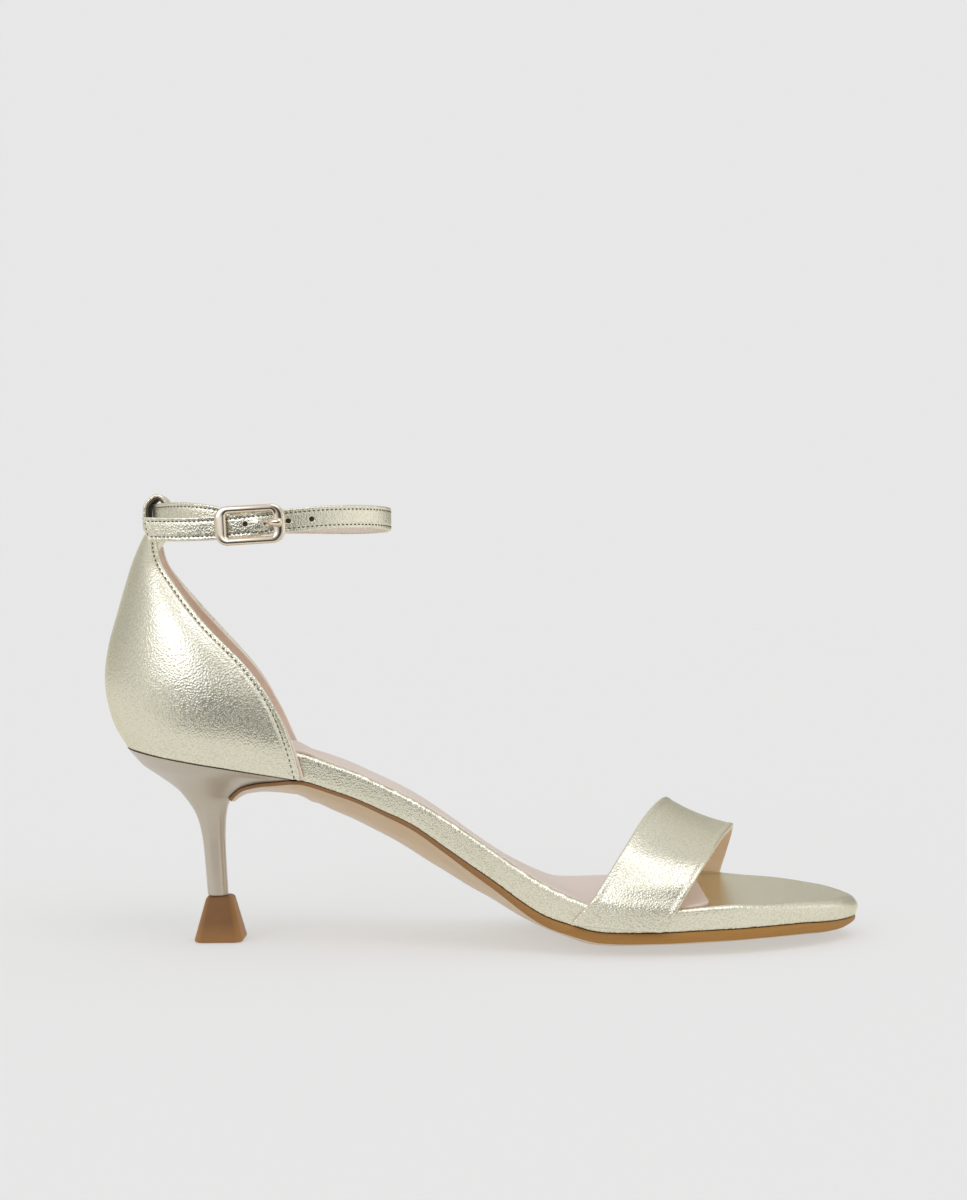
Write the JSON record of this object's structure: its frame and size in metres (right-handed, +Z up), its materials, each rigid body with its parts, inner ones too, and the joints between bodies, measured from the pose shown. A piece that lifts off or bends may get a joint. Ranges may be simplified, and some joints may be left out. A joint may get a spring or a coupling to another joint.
{
  "type": "heeled sandal",
  "caption": "Open-toed sandal with a slim flared heel, a closed heel cup, a wide strap over the forefoot and a narrow buckled ankle strap, in pale metallic leather.",
  "frame": {"origin": "middle of the shoe's outline on the floor it stands on", "axes": "+X to the toe, +Y to the inner side of the foot, +Z up"},
  "size_m": [0.2376, 0.0821, 0.141],
  "materials": {
    "foil_leather": "pale gold foil with a fine grain",
    "sock_leather": "matte beige",
    "sole_leather": "satin tan",
    "heel_paint": "satin champagne paint",
    "heel_rubber": "smooth honey brown",
    "gilt_metal": "polished pale gold plating"
  },
  "bodies": {
    "root": {"outsole": "sole_leather", "platform": "foil_leather", "insole": "sock_leather", "counter": "foil_leather", "heel_loop": "foil_leather", "vamp_strap": "foil_leather", "ankle_strap": "foil_leather", "buckle_frame": "gilt_metal", "buckle_prong": "gilt_metal", "heel": "heel_paint", "toplift": "heel_rubber"}
  },
  "joints": []
}
